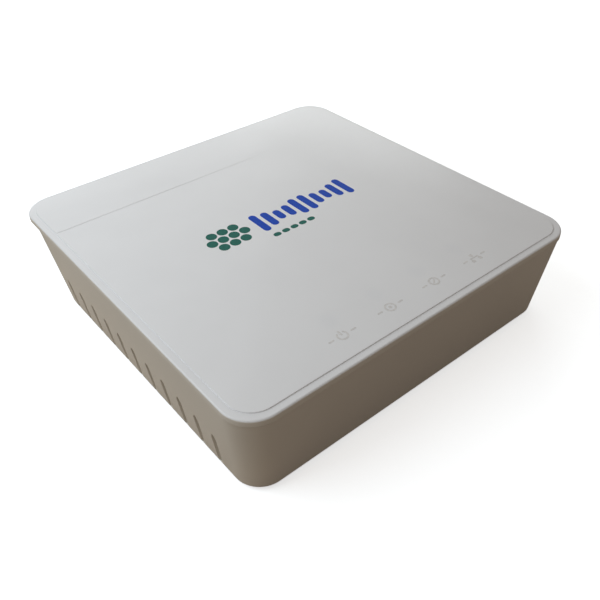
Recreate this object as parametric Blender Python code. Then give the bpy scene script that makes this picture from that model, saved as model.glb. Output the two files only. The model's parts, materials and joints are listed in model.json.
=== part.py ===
"""Optical network terminal: a square two-shell case that leans in towards its floor, with the board, the
optical port, the network jack, the power inlet, the push switch and the indicator lights that it holds.

Lengths are millimetres in the helpers and metres in the scene. +Z is up, the indicator side faces -Y and the
sockets face +Y. The origin is on the table, under the middle of the cover.
"""

import math

import bmesh
import bpy
from mathutils import Matrix, Vector

MM = 0.001
GAP = 0.3                      # clearance between neighbouring pieces
SOLDER = 0.1                   # clearance under parts that are soldered to the board
BEYOND = 1.0                   # how far a cutter runs past the face that it opens

# Driving dimensions
PLAN = 105.0                   # width and depth of the cover
SHELL_HEIGHT = 25.85           # from the case's underside to the cover's rim
FOOT_PROUD = 1.0
PLATEAU_RISE = 0.25
WALL = 2.0
RIM_HEIGHT = 1.75              # the cover's outer edge, from its rim down to the parting line
COVER_CORNER = 7.8
EDGE_ROUND = 0.6               # the cover's rounded upper edge
SIDE_LEAN = 2.6                # how far each wall leans in over its height
FRONT_LEAN = 2.7
BACK_LEAN = 4.3
STANDOFF_HEIGHT = 2.7
BOARD_THICK = 1.6

# Heights
CASE_BOTTOM = FOOT_PROUD
RIM = CASE_BOTTOM + SHELL_HEIGHT
PLATEAU_TOP = RIM + PLATEAU_RISE
RIM_BOTTOM = RIM - RIM_HEIGHT
WALL_TOP = RIM_BOTTOM - GAP
FLOOR_TOP = CASE_BOTTOM + WALL
CEILING = RIM - WALL
STANDOFF_TOP = FLOOR_TOP + STANDOFF_HEIGHT
BOARD_BOTTOM = STANDOFF_TOP + GAP
BOARD_TOP = BOARD_BOTTOM + BOARD_THICK
SEAT = BOARD_TOP + GAP         # underside of the connectors
CHIP_SEAT = BOARD_TOP + SOLDER

# Outlines
COVER_HALF = PLAN / 2
WALL_HALF = COVER_HALF - GAP
WALL_CORNER = COVER_CORNER - GAP
CORNER_TIGHTEN = 0.7           # the front corners' radius shrinks by this much towards the floor
WALL_BACK_CORNER = 12.0        # the case's rear corners draw back from under the cover's
FLOOR_EDGE = 0.5
PLATEAU_INSET = 1.95
PLATEAU_CORNER = 6.2
PLATEAU_BEVEL = 0.12
LIP_OUTER = WALL_HALF - WALL - 0.8
LIP_CORNER = COVER_CORNER - (COVER_HALF - LIP_OUTER)
LIP_BACK_CORNER = WALL_BACK_CORNER - (WALL_HALF - LIP_OUTER)
LIP_THICK = 1.2
LIP_DEPTH = 2.4

# The plateau's cross line
LINE_Y = 32.6
LINE_WIDTH = 0.35
LINE_DEPTH = 0.12

# Side vents
VENT_COUNT = 11
VENT_PITCH = 7.05
VENT_MIDDLE_Y = -1.8
VENT_WIDTH = 1.9
VENT_TOP = 11.3
VENT_SILL = 0.3                # what is left of the floor's edge under each slot
VENT_INNER_X = 44.5

# Fixings
POST_XY = [(x, y) for x in (-41.5, 41.5) for y in (-41.0, 38.5)]
STANDOFF_XY = [(x, y) for x in (-40.5, 40.5) for y in (-31.0, 28.0)]
FOOT_XY = [(x, y) for x in (-31.5, 31.5) for y in (-41.5, 39.0)]
BOSS_RADIUS = 3.0
POST_RADIUS = 4.5
SCREW_HOLE = 1.5
SCREW_SHANK = 1.2
HEAD_RADIUS = 2.6
HEAD_HEIGHT = 1.6
HEAD_HOLE = 3.1
HEAD_HOLE_DEPTH = 2.9
BOSS_HOLE_DEPTH = 10.0
FOOT_RADIUS = 4.6
FOOT_RECESS = 0.6
LABEL_RECESS = 0.35
LABEL_X = (-23.0, 23.0)
LABEL_Y = (2.0, 30.0)
KEYHOLE_X = 30.0
KEYHOLE_Y = 2.0

# Board
MAIN_CHIP_XY = (2.0, -4.0)
MAIN_CHIP_HEIGHT = 1.3
DRIVER_XY = (26.0, 14.0)

# Indicator lights
LIGHT_NAMES = ("power", "optical", "loss", "network")
LIGHT_PITCH = 13.75
LIGHT_MIDDLE_X = 0.95
LIGHT_Y = -38.9
LIGHT_X = [LIGHT_MIDDLE_X + LIGHT_PITCH * (i - 1.5) for i in range(4)]
LIGHT_SKIN = 0.8               # thickness of the cover over each light
GUIDE_RADIUS = 1.7

# Sockets, from the side nearest the optical port
SOCKET_FACE = 49.2
OPTICAL_X = 30.0
NETWORK_X = 10.0
RESET_X = -4.5
POWER_X = -16.0
SWITCH_X = -31.0
RESET_Z = 10.4
POWER_Z = 14.0
SWITCH_Z = 12.7
BUTTON_TRAVEL = 2.2
RESET_TRAVEL = 0.3

# Socket bodies
ADAPTER_HALF_X = 6.4
ADAPTER_HEIGHT = 9.9
ADAPTER_REAR = 35.0
OPTICAL_Z = SEAT + 4.85
JACK_HALF_X = 8.0
JACK_HEIGHT = 13.1
JACK_REAR = 31.0
INLET_HALF_X = 4.5
INLET_HEIGHT = 11.0
INLET_REAR = 35.2
BUTTON_HALF = 3.7

FINISHES = {
    "white_abs": ((0.60, 0.60, 0.60), 0.42, 0.0),
    "case_abs": ((0.56, 0.55, 0.53), 0.48, 0.0),
    "clear_acrylic": ((0.86, 0.89, 0.90), 0.12, 0.0),
    "lamp_resin": ((0.88, 0.86, 0.70), 0.30, 0.0),
    "green_board": ((0.02, 0.13, 0.06), 0.38, 0.0),
    "black_resin": ((0.02, 0.02, 0.022), 0.45, 0.0),
    "green_plastic": ((0.02, 0.30, 0.12), 0.36, 0.0),
    "ceramic": ((0.82, 0.80, 0.74), 0.22, 0.0),
    "steel": ((0.62, 0.62, 0.60), 0.30, 1.0),
    "tin": ((0.68, 0.68, 0.66), 0.36, 1.0),
    "gold": ((0.83, 0.62, 0.25), 0.24, 1.0),
    "brass": ((0.78, 0.62, 0.34), 0.30, 1.0),
    "aluminium": ((0.70, 0.71, 0.72), 0.34, 1.0),
    "rubber": ((0.035, 0.035, 0.036), 0.78, 0.0),
    "paper": ((0.80, 0.80, 0.78), 0.55, 0.0),
}


# Shapes, added to a bmesh in millimetres

def rounded_outline(half_u, half_v, radius, steps=6, back_radius=None):
    """A rounded rectangle about the origin, anticlockwise, as (u, v) points.

    back_radius, where given, rounds the two corners on the +v side instead of radius.
    """
    points = []
    for quarter, (side_u, side_v) in enumerate(((1, 1), (-1, 1), (-1, -1), (1, -1))):
        corner = radius if back_radius is None or side_v < 0 else back_radius
        for step in range(steps + 1):
            angle = math.radians(90 * (quarter + step / steps))
            u = side_u * (half_u - corner) + corner * math.cos(angle)
            v = side_v * (half_v - corner) + corner * math.sin(angle)
            points.append((u, v))
    return points


def level_ring(x0, x1, y0, y1, radius, z, steps=6, back_radius=None):
    """A rounded rectangle at one height."""
    middle_x = (x0 + x1) / 2
    middle_y = (y0 + y1) / 2
    outline = rounded_outline((x1 - x0) / 2, (y1 - y0) / 2, radius, steps, back_radius)
    return [(middle_x + u, middle_y + v, z) for u, v in outline]


def upright_ring(centre_x, centre_z, half_x, half_z, radius, y, steps=3):
    """A rounded rectangle that faces along Y."""
    outline = rounded_outline(half_x, half_z, radius, steps)
    return [(centre_x + u, y, centre_z + v) for u, v in outline]


def add_loft(bm, rings):
    """A closed body through rings of equal length, capped at both ends."""
    rows = [[bm.verts.new(point) for point in ring] for ring in rings]
    count = len(rows[0])
    for lower, upper in zip(rows, rows[1:]):
        for i in range(count):
            after = (i + 1) % count
            bm.faces.new((lower[i], lower[after], upper[after], upper[i]))
    bm.faces.new(reversed(rows[0]))
    bm.faces.new(rows[-1])


def add_box(bm, low, high):
    """A box between two corners."""
    corners = [(low[0], low[1]), (high[0], low[1]), (high[0], high[1]), (low[0], high[1])]
    add_loft(bm, [[(x, y, z) for x, y in corners] for z in (low[2], high[2])])


def add_prism(bm, outline, z0, z1):
    """An upright prism over an outline of (x, y) points."""
    add_loft(bm, [[(x, y, z) for x, y in outline] for z in (z0, z1)])


def add_turned(bm, centre, direction, profile, segments=16):
    """A solid of revolution. profile lists (radius, distance along direction), from the axis to the axis."""
    turn = Vector(direction).to_track_quat("Z", "Y").to_matrix().to_4x4()
    place = Matrix.Translation(centre) @ turn
    rings = []
    for radius, distance in profile[1:-1]:
        angles = [2 * math.pi * i / segments for i in range(segments)]
        ring = [place @ Vector((radius * math.cos(a), radius * math.sin(a), distance)) for a in angles]
        rings.append(ring)
    add_loft(bm, rings)


def add_rod(bm, centre, direction, radius, start, end, segments=16):
    """A plain cylinder from start to end along direction."""
    profile = [(0, start), (radius, start), (radius, end), (0, end)]
    add_turned(bm, centre, direction, profile, segments)


def add_strip(bm, x0, x1, path, thickness):
    """A bent strip: path runs in the YZ plane, and the strip spans x0 to x1."""
    left = []
    right = []
    for i, (y, z) in enumerate(path):
        before = Vector(path[max(i - 1, 0)])
        after = Vector(path[min(i + 1, len(path) - 1)])
        here = Vector((y, z))
        incoming = (here - before).normalized() if i else (after - here).normalized()
        outgoing = (after - here).normalized() if i < len(path) - 1 else incoming
        normal_in = Vector((-incoming.y, incoming.x))
        normal_out = Vector((-outgoing.y, outgoing.x))
        bisector = (normal_in + normal_out).normalized()
        reach = thickness / 2 / bisector.dot(normal_in)
        left.append(here + bisector * reach)
        right.append(here - bisector * reach)
    outline = left + right[::-1]
    add_loft(bm, [[(x, y, z) for y, z in outline] for x in (x0, x1)])


# Objects

def paint(obj, finish):
    """Gives the object its own Principled material."""
    colour, roughness, metallic = FINISHES[finish]
    material = bpy.data.materials.new(f"{obj.name}_{finish}")
    material.use_nodes = True
    shader = material.node_tree.nodes["Principled BSDF"]
    shader.inputs["Base Color"].default_value = (*colour, 1.0)
    shader.inputs["Roughness"].default_value = roughness
    shader.inputs["Metallic"].default_value = metallic
    material.diffuse_color = (*colour, 1.0)
    obj.data.materials.append(material)


def make_object(name, bm, origin=(0, 0, 0)):
    """Turns a bmesh in millimetres into an object whose pivot is at origin."""
    bmesh.ops.recalc_face_normals(bm, faces=bm.faces)
    bmesh.ops.translate(bm, verts=bm.verts, vec=-Vector(origin))
    bmesh.ops.scale(bm, verts=bm.verts, vec=(MM, MM, MM))
    mesh = bpy.data.meshes.new(name)
    bm.to_mesh(mesh)
    bm.free()
    obj = bpy.data.objects.new(name, mesh)
    obj.location = Vector(origin) * MM
    bpy.context.scene.collection.objects.link(obj)
    return obj


def make_part(name, bm, finish, origin=(0, 0, 0), smooth=False):
    """A named sub-part, with smooth shading on round pieces."""
    obj = make_object(name, bm, origin)
    paint(obj, finish)
    if smooth:
        obj.data.shade_smooth()
        obj.data.set_sharp_from_angle(angle=math.radians(35))
    return obj


def combine(obj, bm, operation):
    """Adds or cuts the shapes in bm with a Boolean, whose tool stays as a hidden guide."""
    tool = make_object(f"{obj.name}_{operation.lower()}_tool", bm)
    tool.hide_render = True
    tool.display_type = "WIRE"
    modifier = obj.modifiers.new(operation.title(), "BOOLEAN")
    modifier.operation = operation
    modifier.solver = "EXACT"
    modifier.object = tool


# Case and cover

def wall_ring(z, inset=0.0):
    """The case wall's outline at a height, moved inwards by inset."""
    drop = (WALL_TOP - z) / (WALL_TOP - CASE_BOTTOM)
    half_x = WALL_HALF - SIDE_LEAN * drop - inset
    front = WALL_HALF - FRONT_LEAN * drop - inset
    back = WALL_HALF - BACK_LEAN * drop - inset
    radius = WALL_CORNER - CORNER_TIGHTEN * drop - inset
    return level_ring(-half_x, half_x, -front, back, radius, z, back_radius=WALL_BACK_CORNER - inset)


def cover_ring(z, inset, radius=None):
    """The cover's outline at a height, moved inwards by inset."""
    half = COVER_HALF - inset
    corner = COVER_CORNER - inset if radius is None else radius
    return level_ring(-half, half, -half, half, corner, z)


def lip_ring(z, inset=0.0):
    """The outline of the lip under the cover, which follows the inside of the case wall."""
    half = LIP_OUTER - inset
    back_radius = LIP_BACK_CORNER - inset
    return level_ring(-half, half, -half, half, LIP_CORNER - inset, z, back_radius=back_radius)


def arc_steps(radius, steps):
    """(inset, drop) pairs round a quarter of a circle, from the side to the flat."""
    angles = [math.radians(90 * i / steps) for i in range(steps + 1)]
    return [(radius * (1 - math.cos(a)), radius * (1 - math.sin(a))) for a in angles]


def keyhole_outline(x, y, head_radius, slot_half, slot_length):
    """A round hole with a narrower slot that leads towards -Y and ends round."""
    start = math.asin(slot_half / head_radius) - math.pi / 2
    sweep = 2 * math.pi - 2 * math.asin(slot_half / head_radius)
    head = [start + sweep * i / 16 for i in range(17)]
    points = [(x + head_radius * math.cos(a), y + head_radius * math.sin(a)) for a in head]
    tip = [math.pi + math.pi * i / 8 for i in range(9)]
    points += [(x + slot_half * math.cos(a), y - slot_length + slot_half * math.sin(a)) for a in tip]
    return points


def make_top_cover():
    lip_bottom = CEILING - LIP_DEPTH
    rings = [
        lip_ring(CEILING, LIP_THICK),
        lip_ring(lip_bottom, LIP_THICK),
        lip_ring(lip_bottom),
        lip_ring(RIM_BOTTOM),
        cover_ring(RIM_BOTTOM, 0.0),
    ]
    rings += [cover_ring(RIM - drop, inset) for inset, drop in arc_steps(EDGE_ROUND, 4)]
    rings.append(cover_ring(RIM, PLATEAU_INSET, PLATEAU_CORNER))
    for inset, drop in arc_steps(PLATEAU_BEVEL, 2):
        rings.append(cover_ring(PLATEAU_TOP - drop, PLATEAU_INSET + inset, PLATEAU_CORNER))
    bm = bmesh.new()
    add_loft(bm, rings)
    cover = make_part("top_cover", bm, "white_abs", smooth=True)

    bosses = bmesh.new()
    for x, y in POST_XY:
        add_rod(bosses, (x, y, 0), (0, 0, 1), BOSS_RADIUS, BOARD_BOTTOM, CEILING + WALL / 2)
    combine(cover, bosses, "UNION")

    cuts = bmesh.new()
    for x, y in POST_XY:
        hole_top = BOARD_BOTTOM + BOSS_HOLE_DEPTH
        add_rod(cuts, (x, y, 0), (0, 0, 1), SCREW_HOLE, BOARD_BOTTOM - BEYOND, hole_top)
    for x in LIGHT_X:
        window_top = PLATEAU_TOP - LIGHT_SKIN
        add_rod(cuts, (x, LIGHT_Y, 0), (0, 0, 1), GUIDE_RADIUS + 0.5, CEILING - BEYOND, window_top)
    line_low = (-COVER_HALF, LINE_Y - LINE_WIDTH / 2, PLATEAU_TOP - LINE_DEPTH)
    line_high = (COVER_HALF, LINE_Y + LINE_WIDTH / 2, PLATEAU_TOP + BEYOND)
    add_box(cuts, line_low, line_high)
    combine(cover, cuts, "DIFFERENCE")


def add_side_vents(cuts):
    """Narrow slots through both side walls, which run down into the floor's edge."""
    for side in (-1, 1):
        for i in range(VENT_COUNT):
            y = VENT_MIDDLE_Y + VENT_PITCH * (i - (VENT_COUNT - 1) / 2)
            near, far = sorted((side * VENT_INNER_X, side * (COVER_HALF + BEYOND)))
            low = (near, y - VENT_WIDTH / 2, CASE_BOTTOM + VENT_SILL)
            high = (far, y + VENT_WIDTH / 2, VENT_TOP)
            add_box(cuts, low, high)


def add_socket_openings(cuts):
    """The holes in the back wall for the sockets, the reset pin and the power button."""
    inside = WALL_HALF - BACK_LEAN - WALL - 2 * BEYOND
    outside = COVER_HALF + BEYOND
    sockets = (
        (OPTICAL_X, ADAPTER_HALF_X, ADAPTER_HEIGHT),
        (NETWORK_X, JACK_HALF_X, JACK_HEIGHT),
        (POWER_X, INLET_HALF_X, INLET_HEIGHT),
    )
    for x, half_x, height in sockets:
        low = (x - half_x - GAP, inside, SEAT - GAP)
        high = (x + half_x + GAP, outside, SEAT + height + GAP)
        add_box(cuts, low, high)
    pinhole_radius = 1.1
    add_rod(cuts, (RESET_X, 0, RESET_Z), (0, 1, 0), pinhole_radius, inside, outside)
    half = BUTTON_HALF + GAP
    add_loft(cuts, [upright_ring(SWITCH_X, SWITCH_Z, half, half, 1.5, y) for y in (inside, outside)])


def add_floor_openings(cuts):
    """Vents, wall-hanging keyholes, foot recesses and the label recess in the floor."""
    below = CASE_BOTTOM - BEYOND
    above = FLOOR_TOP + BEYOND
    count, pitch, half_width, y0, y1 = 8, 6.0, 1.1, -32.0, -12.0
    for i in range(count):
        x = pitch * (i - (count - 1) / 2)
        add_box(cuts, (x - half_width, y0, below), (x + half_width, y1, above))
    for x in (-KEYHOLE_X, KEYHOLE_X):
        add_prism(cuts, keyhole_outline(x, KEYHOLE_Y, 3.6, 1.9, 7.0), below, above)
    for x, y in FOOT_XY:
        recess_top = CASE_BOTTOM + FOOT_RECESS
        add_rod(cuts, (x, y, 0), (0, 0, 1), FOOT_RADIUS + GAP, below, recess_top, 20)
    low = (LABEL_X[0] - GAP, LABEL_Y[0] - GAP, below)
    high = (LABEL_X[1] + GAP, LABEL_Y[1] + GAP, CASE_BOTTOM + LABEL_RECESS)
    add_box(cuts, low, high)


def make_bottom_case():
    rings = []
    for inset, rise in reversed(arc_steps(FLOOR_EDGE, 2)):
        rings.append(wall_ring(CASE_BOTTOM + rise, inset))
    rings += [wall_ring(WALL_TOP), wall_ring(WALL_TOP, WALL), wall_ring(FLOOR_TOP, WALL)]
    bm = bmesh.new()
    add_loft(bm, rings)
    case = make_part("bottom_case", bm, "case_abs", smooth=True)

    posts = bmesh.new()
    for spots, radius in ((POST_XY, POST_RADIUS), (STANDOFF_XY, BOSS_RADIUS)):
        for x, y in spots:
            add_rod(posts, (x, y, 0), (0, 0, 1), radius, FLOOR_TOP - WALL / 4, STANDOFF_TOP)
    combine(case, posts, "UNION")

    cuts = bmesh.new()
    below = CASE_BOTTOM - BEYOND
    shoulder = CASE_BOTTOM + HEAD_HOLE_DEPTH
    above = STANDOFF_TOP + BEYOND
    profile = [(0, below), (HEAD_HOLE, below), (HEAD_HOLE, shoulder), (SCREW_HOLE, shoulder)]
    profile += [(SCREW_HOLE, above), (0, above)]
    for x, y in POST_XY:
        add_turned(cuts, (x, y, 0), (0, 0, 1), profile)
    for x, y in STANDOFF_XY:
        add_rod(cuts, (x, y, 0), (0, 0, 1), SCREW_HOLE, FLOOR_TOP + 0.4, above)
    add_side_vents(cuts)
    add_socket_openings(cuts)
    add_floor_openings(cuts)
    combine(case, cuts, "DIFFERENCE")


def make_feet():
    for i, (x, y) in enumerate(FOOT_XY):
        top = CASE_BOTTOM + GAP
        r = FOOT_RADIUS
        profile = [(0, 0), (r - 0.5, 0), (r - 0.15, 0.15), (r, 0.5), (r, top), (0, top)]
        bm = bmesh.new()
        add_turned(bm, (0, 0, 0), (0, 0, 1), profile, 20)
        bmesh.ops.translate(bm, verts=bm.verts, vec=(x, y, 0))
        make_part(f"rubber_foot_{i + 1}", bm, "rubber", (x, y, 0), smooth=True)


def make_screw(name, x, y, head_z, up, length):
    """A pan-head screw with a cross recess; up is the direction from its head to its tip."""
    direction = (0, 0, up)
    profile = [
        (0, -HEAD_HEIGHT), (HEAD_RADIUS - 0.7, -HEAD_HEIGHT), (HEAD_RADIUS, -HEAD_HEIGHT + 0.7),
        (HEAD_RADIUS, 0), (SCREW_SHANK, 0), (SCREW_SHANK, length - 0.8), (0.4, length), (0, length),
    ]
    bm = bmesh.new()
    add_turned(bm, (x, y, head_z), direction, profile, 12)
    screw = make_part(name, bm, "steel", (x, y, head_z), smooth=True)
    recess = bmesh.new()
    face = head_z - up * HEAD_HEIGHT
    deep = sorted((face - up, face + up * 0.7))
    half_long, half_wide = 1.4, 0.25
    cross = [
        (half_long, -half_wide), (half_long, half_wide), (half_wide, half_wide), (half_wide, half_long),
        (-half_wide, half_long), (-half_wide, half_wide), (-half_long, half_wide), (-half_long, -half_wide),
        (-half_wide, -half_wide), (-half_wide, -half_long), (half_wide, -half_long), (half_wide, -half_wide),
    ]
    add_prism(recess, [(x + u, y + v) for u, v in cross], *deep)
    combine(screw, recess, "DIFFERENCE")


def make_screws():
    case_seat = CASE_BOTTOM + HEAD_HOLE_DEPTH - GAP
    case_length, board_length = 10.0, 4.1
    for i, (x, y) in enumerate(POST_XY):
        make_screw(f"case_screw_{i + 1}", x, y, case_seat, 1, case_length)
    for i, (x, y) in enumerate(STANDOFF_XY):
        make_screw(f"board_screw_{i + 1}", x, y, SEAT, -1, board_length)


def make_rating_label():
    bm = bmesh.new()
    corner, thickness = 1.5, 0.2
    bottom = CASE_BOTTOM + 0.05
    add_loft(bm, [level_ring(*LABEL_X, *LABEL_Y, corner, z, 3) for z in (bottom, bottom + thickness)])
    make_part("rating_label", bm, "paper")


# Board and chips

def make_main_board():
    """A board whose corners step back from the cover's screw bosses."""
    wide, narrow = 46.0, 37.0
    front, front_step, back_step, back = -44.5, -37.0, 34.5, 44.5
    right = [(narrow, front), (narrow, front_step), (wide, front_step)]
    right += [(wide, back_step), (narrow, back_step), (narrow, back)]
    left = [(-x, y) for x, y in reversed(right)]
    bm = bmesh.new()
    add_prism(bm, right + left, BOARD_BOTTOM, BOARD_TOP)
    board = make_part("main_board", bm, "green_board")
    holes = bmesh.new()
    for x, y in STANDOFF_XY:
        add_rod(holes, (x, y, 0), (0, 0, 1), SCREW_HOLE, BOARD_BOTTOM - BEYOND, BOARD_TOP + BEYOND)
    combine(board, holes, "DIFFERENCE")


def make_chip(name, x, y, width, depth, height, finish="black_resin", seat=CHIP_SEAT):
    """A flat package with a slightly smaller top face."""
    bm = bmesh.new()
    shrink = min(0.25, height / 4)
    levels = ((seat, 0.0), (seat + height * 0.6, 0.0), (seat + height, shrink))
    rings = []
    for z, inset in levels:
        half_x = width / 2 - inset
        half_y = depth / 2 - inset
        rings.append(level_ring(x - half_x, x + half_x, y - half_y, y + half_y, 0.3, z, 1))
    add_loft(bm, rings)
    make_part(name, bm, finish)


def make_chips():
    make_chip("main_chip", *MAIN_CHIP_XY, 17, 17, MAIN_CHIP_HEIGHT)
    make_chip("memory_chip", 24, -6, 9, 13, 1.0)
    make_chip("flash_chip", -15, -12, 5.3, 5.3, 1.8)
    make_chip("regulator_chip", -21, 2, 4.0, 4.0, 0.9)
    make_chip("laser_driver", *DRIVER_XY, 5.0, 5.0, 0.9)
    make_chip("clock_crystal", -12, 2, 3.2, 2.5, 0.8, "tin")
    make_chip("lan_transformer", 10, 21.5, 17.5, 12, 5.8)


def make_heat_sink():
    """A finned block over the main chip."""
    half, height, base, channel_half, channel_count, pitch = 11.0, 8.0, 1.8, 1.0, 6, 3.4
    x, y = MAIN_CHIP_XY
    bottom = CHIP_SEAT + MAIN_CHIP_HEIGHT + GAP
    bm = bmesh.new()
    add_box(bm, (x - half, y - half, bottom), (x + half, y + half, bottom + height))
    sink = make_part("heat_sink", bm, "aluminium")
    channels = bmesh.new()
    for i in range(channel_count):
        middle = x + pitch * (i - (channel_count - 1) / 2)
        low = (middle - channel_half, y - half - BEYOND, bottom + base)
        high = (middle + channel_half, y + half + BEYOND, bottom + height + BEYOND)
        add_box(channels, low, high)
    combine(sink, channels, "DIFFERENCE")


def make_rf_shield():
    """A thin can over the laser driver, open underneath."""
    half_x, half_y, height, sheet, corner = 7.0, 5.5, 2.4, 0.25, 0.6
    x, y = DRIVER_XY
    top = CHIP_SEAT + height
    rings = []
    for inset, z in ((sheet, top - sheet), (sheet, CHIP_SEAT), (0.0, CHIP_SEAT), (0.0, top)):
        x_ends = (x - half_x + inset, x + half_x - inset)
        y_ends = (y - half_y + inset, y + half_y - inset)
        rings.append(level_ring(*x_ends, *y_ends, corner - inset, z, 2))
    bm = bmesh.new()
    add_loft(bm, rings)
    make_part("rf_shield", bm, "tin")


def make_capacitor(name, x, y, radius, height):
    """An electrolytic can with a rolled groove near its base."""
    profile = [
        (0, 0), (radius - 0.2, 0), (radius, 0.3), (radius, 1.2), (radius - 0.4, 1.6), (radius, 2.0),
        (radius, height - 0.4), (radius - 0.4, height), (0, height),
    ]
    bm = bmesh.new()
    add_turned(bm, (x, y, SEAT), (0, 0, 1), profile, 16)
    make_part(name, bm, "aluminium", (x, y, SEAT), smooth=True)


def make_inductor(name, x, y, half, height):
    """A shielded power inductor: a square block with cut corners."""
    bm = bmesh.new()
    sides = (x - half, x + half, y - half, y + half)
    add_loft(bm, [level_ring(*sides, half * 0.35, z, 2) for z in (CHIP_SEAT, CHIP_SEAT + height)])
    make_part(name, bm, "black_resin")


def make_power_parts():
    make_capacitor("capacitor_1", -19, 24, 4.0, 10.0)
    make_capacitor("capacitor_2", -30, 16, 3.15, 7.7)
    make_capacitor("capacitor_3", -8, 27, 3.15, 7.7)
    make_inductor("power_inductor_1", -31, 4, 3.6, 4.0)
    make_inductor("power_inductor_2", -30, -10, 2.5, 3.0)


# Indicator lights

def make_lights():
    for name, x in zip(LIGHT_NAMES, LIGHT_X):
        bm = bmesh.new()
        levels = ((CHIP_SEAT, 1.0, 0.62), (CHIP_SEAT + 0.45, 1.0, 0.62), (CHIP_SEAT + 0.8, 0.65, 0.5))
        rings = []
        for z, half_x, half_y in levels:
            rings.append(level_ring(x - half_x, x + half_x, LIGHT_Y - half_y, LIGHT_Y + half_y, 0.15, z, 1))
        add_loft(bm, rings)
        make_part(f"led_{name}", bm, "lamp_resin")


def make_light_guide():
    """Four clear pillars on one bar, which stands on two legs between the lights."""
    bar_z, bar_thick, bar_half, leg_radius, lamp_clearance = 18.0, 2.0, 1.3, 1.25, 1.3
    ends = (LIGHT_X[0] - 3.0, LIGHT_X[-1] + 3.0, LIGHT_Y - bar_half, LIGHT_Y + bar_half)
    bm = bmesh.new()
    add_loft(bm, [level_ring(*ends, 1.0, z, 3) for z in (bar_z, bar_z + bar_thick)])
    guide = make_part("light_guide", bm, "clear_acrylic", smooth=True)
    rods = bmesh.new()
    for x in LIGHT_X:
        top = PLATEAU_TOP - LIGHT_SKIN - GAP
        add_rod(rods, (x, LIGHT_Y, 0), (0, 0, 1), GUIDE_RADIUS, CHIP_SEAT + lamp_clearance, top)
    for left, right in ((LIGHT_X[0], LIGHT_X[1]), (LIGHT_X[2], LIGHT_X[3])):
        middle = ((left + right) / 2, LIGHT_Y, 0)
        add_rod(rods, middle, (0, 0, 1), leg_radius, SEAT, bar_z + bar_thick / 2)
    combine(guide, rods, "UNION")


# Sockets

def make_optical_port():
    """The square optical adapter, with the sleeve that guides the fibre's ferrule."""
    x, z, rear = OPTICAL_X, OPTICAL_Z, ADAPTER_REAR
    mouth = SOCKET_FACE + BEYOND
    middle = SEAT + ADAPTER_HEIGHT / 2
    bm = bmesh.new()
    outline = (x, middle, ADAPTER_HALF_X, ADAPTER_HEIGHT / 2, 0.6)
    add_loft(bm, [upright_ring(*outline, y, 2) for y in (rear, SOCKET_FACE)])
    adapter = make_part("optical_adapter", bm, "green_plastic")
    opening = bmesh.new()
    half_x, half_z, back_wall = 4.55, 3.75, 3.5
    add_box(opening, (x - half_x, rear + back_wall, z - half_z), (x + half_x, mouth, z + half_z))
    combine(adapter, opening, "DIFFERENCE")
    keyway = bmesh.new()
    add_box(keyway, (x - 1.2, rear + 6, z + half_z - 0.75), (x + 1.2, mouth, z + half_z + 0.75))
    sleeve_radius, bore_radius = 2.05, 1.25
    add_rod(keyway, (x, 0, z), (0, 1, 0), sleeve_radius + GAP, rear - BEYOND, rear + back_wall + BEYOND)
    combine(adapter, keyway, "DIFFERENCE")

    sleeve = bmesh.new()
    front, bore_depth, chamfer = SOCKET_FACE - 2.6, 6.0, 0.25
    profile = [
        (0, front - bore_depth), (bore_radius, front - bore_depth), (bore_radius, front - chamfer),
        (bore_radius + chamfer, front), (sleeve_radius - chamfer, front),
        (sleeve_radius, front - chamfer), (sleeve_radius, rear + GAP), (0, rear + GAP),
    ]
    add_turned(sleeve, (x, 0, z), (0, 1, 0), profile)
    make_part("ferrule_sleeve", sleeve, "ceramic", smooth=True)


def make_optical_module():
    """The two-way transceiver behind the adapter: a body with a laser can and a photodiode can."""
    x, z, half, length = OPTICAL_X, OPTICAL_Z, 3.6, 8.2
    front = ADAPTER_REAR - GAP
    rear = front - length
    bm = bmesh.new()
    add_loft(bm, [upright_ring(x, z, half, half, 1.2, y, 3) for y in (rear, front)])
    make_part("optical_module", bm, "steel", smooth=True)
    flange, cap, flange_thick, depth = 2.8, 2.3, 1.0, 3.8
    can = [(0, 0), (flange, 0), (flange, flange_thick), (cap, flange_thick), (cap, depth - 0.4)]
    can += [(cap - 0.3, depth), (0, depth)]
    places = (
        ("laser_can", (x, rear - GAP, z), (0, -1, 0)),
        ("photodiode_can", (x - half - GAP, (rear + front) / 2, z), (-1, 0, 0)),
    )
    for name, seat, direction in places:
        bm = bmesh.new()
        add_turned(bm, seat, direction, can)
        make_part(name, bm, "gold", smooth=True)


def make_jack_housing(cavity_floor, cavity_ceiling, rear):
    """The jack's moulded body: a mouth with a latch notch below it, and a slot at the back."""
    x = NETWORK_X
    half_x, mouth_half, notch_half, notch_depth = 7.4, 5.9, 3.1, 1.5
    shield_clearance = 0.6
    bm = bmesh.new()
    low = (x - half_x, rear, SEAT)
    high = (x + half_x, SOCKET_FACE - GAP, SEAT + JACK_HEIGHT - shield_clearance)
    add_box(bm, low, high)
    housing = make_part("lan_jack_housing", bm, "black_resin")
    mouth = bmesh.new()
    notch_floor = cavity_floor - notch_depth
    section = [
        (mouth_half, cavity_floor), (mouth_half, cavity_ceiling),
        (-mouth_half, cavity_ceiling), (-mouth_half, cavity_floor),
        (-notch_half, cavity_floor), (-notch_half, notch_floor),
        (notch_half, notch_floor), (notch_half, cavity_floor),
    ]
    add_loft(mouth, [[(x + u, y, z) for u, z in section] for y in (rear + 2.5, SOCKET_FACE + BEYOND)])
    combine(housing, mouth, "DIFFERENCE")
    slot = bmesh.new()
    low = (x - 4.3, rear - BEYOND, cavity_ceiling - 1.0)
    high = (x + 4.3, rear + 4, cavity_ceiling - 0.1)
    add_box(slot, low, high)
    combine(housing, slot, "DIFFERENCE")


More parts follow.
